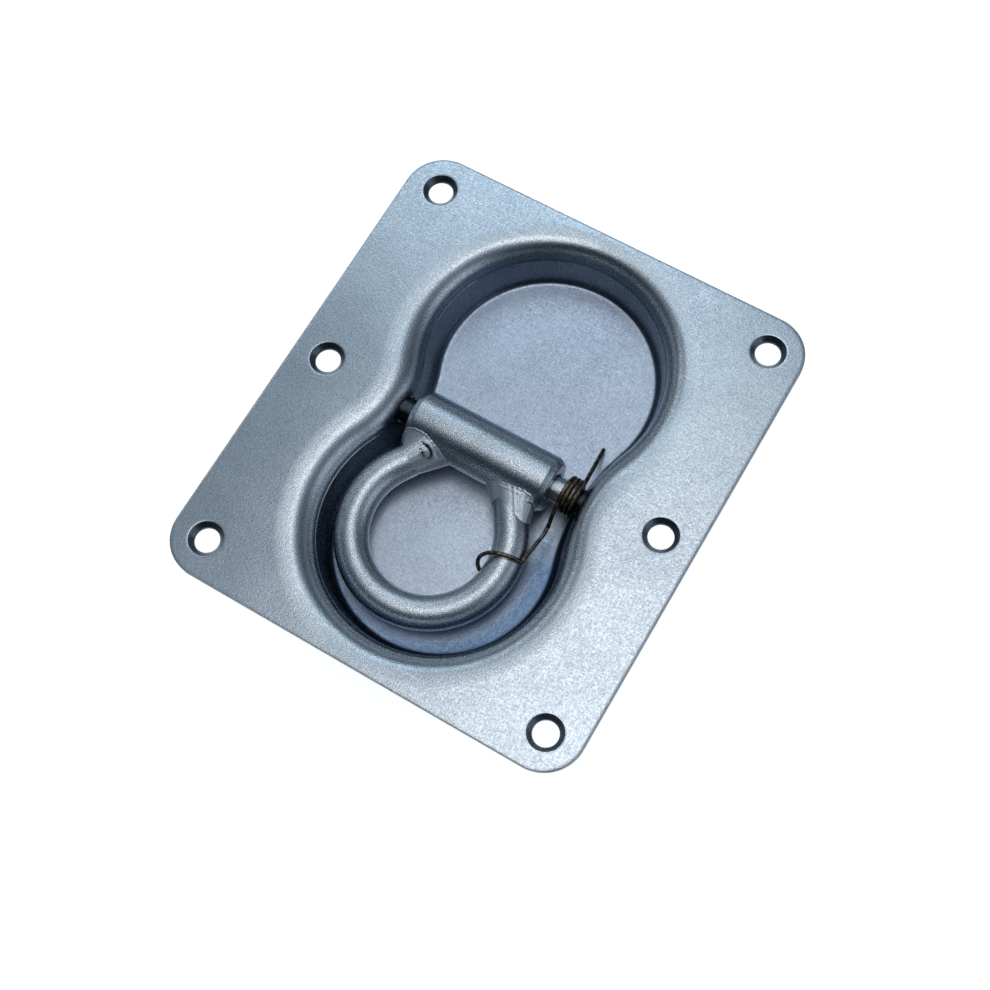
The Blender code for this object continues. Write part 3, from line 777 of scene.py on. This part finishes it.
def make_grain_group():
    """Fine plated grain: specks, a rolled grain along two directions and broad tone changes."""
    tree, given, made = group_shell("plated_grain", [
        ("Vector", "NodeSocketVector", None),
        ("Speck Size", "NodeSocketFloat", 0.4),
        ("Rolled Grain", "NodeSocketFloat", 0.5),
    ], [("Specks", "NodeSocketFloat"), ("Tone", "NodeSocketFloat"), ("Height", "NodeSocketFloat")])
    vector = given.outputs["Vector"]
    density = math_node(tree, "DIVIDE", 1000.0, given.outputs["Speck Size"])
    fine = node(tree, "ShaderNodeTexNoise", in_Detail=3.0, in_Roughness=0.65)
    tree.links.new(vector, fine.inputs["Vector"])
    tree.links.new(density, fine.inputs["Scale"])
    specks = ranged(tree, fine.outputs["Fac"], 0.36, 0.64)
    along = noise_of(tree, mapped(tree, vector, (480.0, 2400.0, 1500.0)), 1.0, 2.0)
    cross = noise_of(tree, mapped(tree, vector, (2400.0, 480.0, 1500.0)), 1.0, 2.0)
    rolled = product(tree, math_node(tree, "ADD", along, cross), 0.5)
    rolled = ranged(tree, rolled, 0.41, 0.59)
    cloud = noise_of(tree, vector, 90.0, 4.0, 0.6)
    drift = noise_of(tree, mapped(tree, vector, (14.0, 30.0, 20.0), 20.0), 1.0, 2.0)
    tone = product(tree, math_node(tree, "ADD", cloud, drift), 0.5)
    mixed = node(tree, "ShaderNodeMix", data_type="FLOAT")
    tree.links.new(given.outputs["Rolled Grain"], mixed.inputs[0])
    tree.links.new(specks, mixed.inputs[2])
    tree.links.new(rolled, mixed.inputs[3])
    tree.links.new(mixed.outputs[0], made.inputs["Specks"])
    tree.links.new(ranged(tree, tone, 0.35, 0.65), made.inputs["Tone"])
    height = math_node(tree, "ADD", product(tree, specks, 0.6), product(tree, mixed.outputs[0], 0.4))
    tree.links.new(height, made.inputs["Height"])
    return tree


def make_scratch_group():
    """Thin handling scratches in three directions, and tiny bright nicks."""
    tree, given, made = group_shell("handling_scratches", [
        ("Vector", "NodeSocketVector", None),
        ("Amount", "NodeSocketFloat", 0.5),
    ], [("Scratches", "NodeSocketFloat"), ("Nicks", "NodeSocketFloat")])
    vector = given.outputs["Vector"]
    lines = None
    for turn, width, length in ((25.0, 900.0, 55.0), (-48.0, 1100.0, 75.0), (80.0, 800.0, 60.0)):
        field = noise_of(tree, mapped(tree, vector, (length, width, 300.0), turn), 1.0, 1.0)
        line = ranged(tree, field, 0.735, 0.775)
        lines = line if lines is None else math_node(tree, "MAXIMUM", lines, line)
    patch = ranged(tree, noise_of(tree, vector, 140.0, 2.0), 0.45, 0.6)
    tree.links.new(product(tree, lines, patch, given.outputs["Amount"]), made.inputs["Scratches"])
    cells = node(tree, "ShaderNodeTexVoronoi", in_Scale=420.0)
    tree.links.new(vector, cells.inputs["Vector"])
    nick = ranged(tree, cells.outputs["Distance"], 0.10, 0.05)
    chosen = ranged(tree, noise_of(tree, vector, 260.0, 1.0), 0.58, 0.66)
    tree.links.new(product(tree, nick, chosen, given.outputs["Amount"]), made.inputs["Nicks"])
    return tree


def zinc(name, grain, scratches, dark, light, roughness, spread, speck, rolled, amount, bump):
    """Plated steel: two tones mixed by the grain, with its specks in the gloss and the relief.

    The roughness varies by its spread, the speck is the grain's size in mm, rolled its share of rolling
    marks, and the amount is how scratched the surface is.
    """
    material = bpy.data.materials.new(name)
    material.use_nodes = True
    tree = material.node_tree
    shader = tree.nodes["Principled BSDF"]
    shader.inputs["Metallic"].default_value = 1.0
    place = tree.nodes.new("ShaderNodeTexCoord").outputs["Object"]
    plated = node(tree, "ShaderNodeGroup", node_tree=grain, in_Speck_Size=speck, in_Rolled_Grain=rolled)
    scratched = node(tree, "ShaderNodeGroup", node_tree=scratches, in_Amount=amount)
    tree.links.new(place, plated.inputs["Vector"])
    tree.links.new(place, scratched.inputs["Vector"])
    blend = math_node(tree, "ADD", product(tree, plated.outputs["Specks"], 0.6),
                      product(tree, plated.outputs["Tone"], 0.4))
    marks = math_node(tree, "MAXIMUM", scratched.outputs["Scratches"], scratched.outputs["Nicks"])
    blend = math_node(tree, "ADD", blend, product(tree, marks, 0.6), clamp=True)
    tones = node(tree, "ShaderNodeMix", data_type="RGBA")
    tones.inputs[6].default_value = (*dark, 1.0)
    tones.inputs[7].default_value = (*light, 1.0)
    tree.links.new(blend, tones.inputs[0])
    tree.links.new(tones.outputs[2], shader.inputs["Base Color"])
    gloss = ranged(tree, plated.outputs["Specks"], 0.0, 1.0, roughness + spread, roughness - spread)
    gloss = math_node(tree, "SUBTRACT", gloss, product(tree, marks, 0.08))
    tree.links.new(gloss, shader.inputs["Roughness"])
    height = math_node(tree, "SUBTRACT", plated.outputs["Height"], product(tree, marks, 0.5))
    relief = node(tree, "ShaderNodeBump", in_Strength=bump, in_Distance=0.05 * MM)
    tree.links.new(height, relief.inputs["Height"])
    tree.links.new(relief.outputs["Normal"], shader.inputs["Normal"])
    return material


def tinted(tree, colour, share, tint):
    """Colour multiplied by a tint where its share is one."""
    made = node(tree, "ShaderNodeMix", data_type="RGBA", blend_type="MULTIPLY")
    tree.links.new(share, made.inputs[0])
    tree.links.new(colour, made.inputs[6])
    made.inputs[7].default_value = (*tint, 1.0)
    return made.outputs[2]


def tint_base(tree, zones):
    """Base colour tinted by each zone's share in turn."""
    base = tree.nodes["Principled BSDF"].inputs["Base Color"]
    colour = base.links[0].from_socket
    for share, tint in zones:
        colour = tinted(tree, colour, share, tint)
    tree.links.new(colour, base)


def countersinks(tree, x, y, upward):
    """Share that is one on the cones of the six screw holes, found by their place and their slope."""
    hole_x = PLATE_WIDTH / 2 - SCREW_EDGE
    across = math_node(tree, "ABSOLUTE", x, 0.0)
    along = math_node(tree, "ABSOLUTE", y, 0.0)
    return product(tree,
                   ranged(tree, across, hole_x - 4.8 * MM, hole_x - 4.4 * MM),
                   ranged(tree, across, hole_x + 6.6 * MM, hole_x + 6.2 * MM),
                   ranged(tree, along, PLATE_LENGTH / 2 - 1.6 * MM, PLATE_LENGTH / 2 - 2.0 * MM),
                   ranged(tree, upward, 0.95, 0.85))


def finish_and_shade_zones(material):
    """Painted shade on the recess walls, lighter to the lower left, in the floor's corner and on the floor
    round the stored ring; a duller bluer floor in the recess; and painted shade in the countersinks, the
    screw bores and on the plate's side faces.
    """
    tree = material.node_tree
    place = tree.nodes.new("ShaderNodeTexCoord")
    x, y, height = split(tree, place.outputs["Object"])
    upward = split(tree, place.outputs["Normal"])[2]
    flange = ranged(tree, height, TOP_Z - SHEET, TOP_Z - SHEET + 0.1 * MM)
    floor = ranged(tree, height, SHEET + 0.6 * MM, SHEET + 0.1 * MM)
    # Painted shade on the recess walls below the roll, lighter towards the lower left
    lower_left = product(tree, ranged(tree, x, -20.0 * MM, -30.0 * MM),
                         ranged(tree, y, -4.0 * MM, -14.0 * MM), 0.7)
    wall_shade = product(tree, ranged(tree, height, TOP_Z - 1.5 * MM, TOP_Z - 4.5 * MM),
                   inverse(tree, floor), inverse(tree, lower_left))
    # Painted shade in the corner where the walls meet the floor
    corner = product(tree, ranged(tree, height, SHEET + 0.04 * MM, SHEET + 0.12 * MM),
                     ranged(tree, height, SHEET + 1.6 * MM, SHEET + 0.5 * MM))
    # Painted shade on the lower lobe's floor between the stored ring and the recess walls
    spread = node(tree, "ShaderNodeVectorMath", operation="DISTANCE")
    tree.links.new(place.outputs["Object"], spread.inputs[0])
    spread.inputs[1].default_value = (RING_X, -REACH, SHEET)
    shade_round_ring = product(tree, ranged(tree, spread.outputs["Value"], BEND, BEND + 7.0 * MM),
                      ranged(tree, y, -4.0 * MM, -16.0 * MM), floor)
    # Painted shade in the countersinks
    cone = product(tree, countersinks(tree, x, y, upward), flange)
    # Painted shade on the screw bores and the plate's side faces
    edge = product(tree, flange, ranged(tree, upward, 0.45, 0.25))
    tint_base(tree, (
        (shade_round_ring, (0.34, 0.45, 0.59)), (wall_shade, (0.42, 0.49, 0.60)), (floor, (0.92, 0.93, 1.0)),
        (cone, (0.24, 0.28, 0.31)), (corner, (0.30, 0.32, 0.36)), (edge, (0.07, 0.08, 0.09)),
    ))
    gloss = tree.nodes["Principled BSDF"].inputs["Roughness"]
    duller = math_node(tree, "ADD", gloss.links[0].from_socket, product(tree, floor, 0.12))
    tree.links.new(duller, gloss)


def darken_hollows(material):
    """Half-dull bead, with painted shade in its groove and crater from its own attribute."""
    tree = material.node_tree
    share = tree.nodes.new("ShaderNodeAttribute")
    share.attribute_name = "hollow_shade"
    tint_base(tree, ((share.outputs["Fac"], (0.02, 0.02, 0.025)),))
    shine = product(tree, inverse(tree, share.outputs["Fac"]), 0.6)
    tree.links.new(shine, tree.nodes["Principled BSDF"].inputs["Metallic"])


def darken_stub(material):
    """Painted shade on the pin in the narrow gaps next to both walls."""
    tree = material.node_tree
    x = split(tree, tree.nodes.new("ShaderNodeTexCoord").outputs["Object"])[0]
    ends = math_node(tree, "MAXIMUM", ranged(tree, x, -18.5 * MM, -19.0 * MM),
                     ranged(tree, x, 21.6 * MM, 22.0 * MM))
    tint_base(tree, ((ends, (0.08, 0.09, 0.10)),))


def oiled_wire(name):
    """Dark oil-tempered wire with brown and tan drawing marks."""
    material = bpy.data.materials.new(name)
    material.use_nodes = True
    tree = material.node_tree
    shader = tree.nodes["Principled BSDF"]
    shader.inputs["Metallic"].default_value = 1.0
    place = tree.nodes.new("ShaderNodeTexCoord").outputs["Object"]
    patches = noise_of(tree, place, 900.0, 3.0, 0.6)
    ramp = tree.nodes.new("ShaderNodeValToRGB")
    ramp.color_ramp.elements[0].position = 0.35
    ramp.color_ramp.elements[0].color = (0.035, 0.028, 0.024, 1.0)
    ramp.color_ramp.elements[1].position = 0.68
    ramp.color_ramp.elements[1].color = (0.36, 0.27, 0.19, 1.0)
    tree.links.new(patches, ramp.inputs["Fac"])
    tree.links.new(ramp.outputs["Color"], shader.inputs["Base Color"])
    fine = noise_of(tree, place, 3200.0, 2.0)
    tree.links.new(ranged(tree, fine, 0.3, 0.7, 0.42, 0.24), shader.inputs["Roughness"])
    relief = node(tree, "ShaderNodeBump", in_Strength=0.25, in_Distance=0.03 * MM)
    tree.links.new(fine, relief.inputs["Height"])
    tree.links.new(relief.outputs["Normal"], shader.inputs["Normal"])
    return material


# Studio


def make_camera():
    """Camera that sees the part as the photograph does."""
    data = bpy.data.cameras.new("photo_view")
    data.sensor_width = 36.0
    data.lens = FOCAL_LENGTH / FRAME_SIZE * data.sensor_width
    data.clip_start = 0.01
    camera = bpy.data.objects.new("photo_view", data)
    right = Vector((0.85780414, 0.50982314, -0.06521058))
    down = Vector((0.46105916, -0.81934011, -0.34074363))
    ahead = Vector((-0.22714863, 0.26222537, -0.93789197))
    turn = Matrix((right, -down, -ahead)).transposed().to_4x4()
    camera.matrix_world = Matrix.Translation((0.0884057, -0.1035189, 0.3510011)) @ turn
    bpy.context.scene.collection.objects.link(camera)
    bpy.context.scene.camera = camera


def make_light(name, place, target, width, height, power, colour):
    """Rectangular softbox aimed at a point."""
    data = bpy.data.lights.new(name, "AREA")
    data.shape = "RECTANGLE"
    data.size = width
    data.size_y = height
    data.energy = power
    data.color = colour
    lamp = bpy.data.objects.new(name, data)
    lamp.location = place
    lamp.rotation_euler = (Vector(target) - Vector(place)).to_track_quat("-Z", "Y").to_euler()
    bpy.context.scene.collection.objects.link(lamp)


def make_floor():
    """Pale table that takes the object's shadow, brightened to white for all but the light it gives off."""
    bm = bmesh.new()
    bmesh.ops.create_grid(bm, x_segments=1, y_segments=1, size=TABLE_HALF)
    bmesh.ops.translate(bm, vec=(0.0, 0.0, -TABLE_GAP), verts=bm.verts)
    mesh = bpy.data.meshes.new("table")
    bm.to_mesh(mesh)
    bm.free()
    table = bpy.data.objects.new("table", mesh)
    bpy.context.scene.collection.objects.link(table)
    material = bpy.data.materials.new("table")
    material.use_nodes = True
    tree = material.node_tree
    tree.nodes.clear()
    seen = tree.nodes.new("ShaderNodeLightPath")
    direct = math_node(tree, "MAXIMUM", seen.outputs["Is Camera Ray"], seen.outputs["Is Glossy Ray"])
    direct = math_node(tree, "MAXIMUM", direct, seen.outputs["Is Transmission Ray"])
    matt = node(tree, "ShaderNodeBsdfDiffuse")
    matt.inputs["Color"].default_value = (TABLE_GREY, TABLE_GREY, TABLE_GREY, 1.0)
    glow = node(tree, "ShaderNodeEmission")
    tree.links.new(product(tree, direct, 0.80), glow.inputs["Strength"])
    both = tree.nodes.new("ShaderNodeAddShader")
    out = tree.nodes.new("ShaderNodeOutputMaterial")
    tree.links.new(matt.outputs[0], both.inputs[0])
    tree.links.new(glow.outputs[0], both.inputs[1])
    tree.links.new(both.outputs[0], out.inputs["Surface"])
    mesh.materials.append(material)


def make_world():
    """Bluish room, light overhead, darker between and to the front, and white just above the table."""
    world = bpy.data.worlds.new("room")
    world.use_nodes = True
    tree = world.node_tree
    back = tree.nodes["Background"]
    back.inputs["Color"].default_value = (0.62, 0.80, 1.0, 1.0)
    _, y, z = split(tree, tree.nodes.new("ShaderNodeTexCoord").outputs["Generated"])
    low = ranged(tree, z, 0.12, 0.38, 0.34, 0.08)
    high = ranged(tree, z, 0.48, 0.92, 0.08, 0.34)
    front = ranged(tree, y, -0.75, -0.25, 0.3, 1.0)
    horizon = ranged(tree, z, 0.035, 0.06, 1.6, 0.0)
    room = product(tree, math_node(tree, "MAXIMUM", low, high), front)
    tree.links.new(math_node(tree, "MAXIMUM", room, horizon), back.inputs["Strength"])
    bpy.context.scene.world = world


make_camera()
make_world()
make_floor()
make_light("overhead", place=(0.0, -0.015, 0.42), target=(0.0, -0.0149, 0.0),
           width=0.19, height=0.37, power=0.30, colour=(0.95, 0.98, 1.0))
make_light("left_strip", place=(-0.42, 0.14, 0.36), target=(-0.02, 0.0, 0.0),
           width=0.30, height=0.10, power=0.10, colour=(0.90, 0.96, 1.0))
make_light("back_left", place=(-0.20, 0.34, 0.42), target=(-0.20, 0.3401, 0.0),
           width=0.34, height=0.26, power=0.38, colour=(0.68, 0.85, 1.0))
make_light("right_wall", place=(0.55, 0.05, 0.22), target=(0.0, 0.0, 0.02),
           width=0.50, height=0.28, power=0.24, colour=(0.80, 0.88, 1.0))

grain = make_grain_group()
scratches = make_scratch_group()
pan_zinc = zinc("zinc_pan", grain, scratches, dark=(0.40, 0.44, 0.48), light=(0.76, 0.79, 0.81),
                roughness=0.26, spread=0.11, speck=0.38, rolled=0.3, amount=0.6, bump=0.32)
finish_and_shade_zones(pan_zinc)
ring_zinc = zinc("zinc_ring", grain, scratches, dark=(0.26, 0.30, 0.33), light=(0.86, 0.89, 0.92),
                 roughness=0.25, spread=0.10, speck=0.30, rolled=0.1, amount=0.4, bump=0.42)
pin_zinc = zinc("zinc_pin", grain, scratches, dark=(0.45, 0.49, 0.52), light=(0.84, 0.86, 0.87),
                roughness=0.22, spread=0.05, speck=0.3, rolled=0.1, amount=0.4, bump=0.4)
darken_stub(pin_zinc)
weld_zinc = zinc("weld_metal", grain, scratches, dark=(0.36, 0.40, 0.44), light=(0.78, 0.80, 0.83),
                 roughness=0.30, spread=0.06, speck=0.40, rolled=0.0, amount=0.2, bump=0.30)
darken_hollows(weld_zinc)

make_pan(pan_zinc)
make_barrel(ring_zinc)
make_pin(pin_zinc)
make_ring(ring_zinc)
make_weld("weld_bead_left", "weld_left", LEFT_WELD, weld_zinc)
make_weld("weld_bead_right", "weld_right", RIGHT_WELD, weld_zinc)
make_spring(oiled_wire("spring_wire"))

bpy.context.scene.view_settings.view_transform = "Standard"
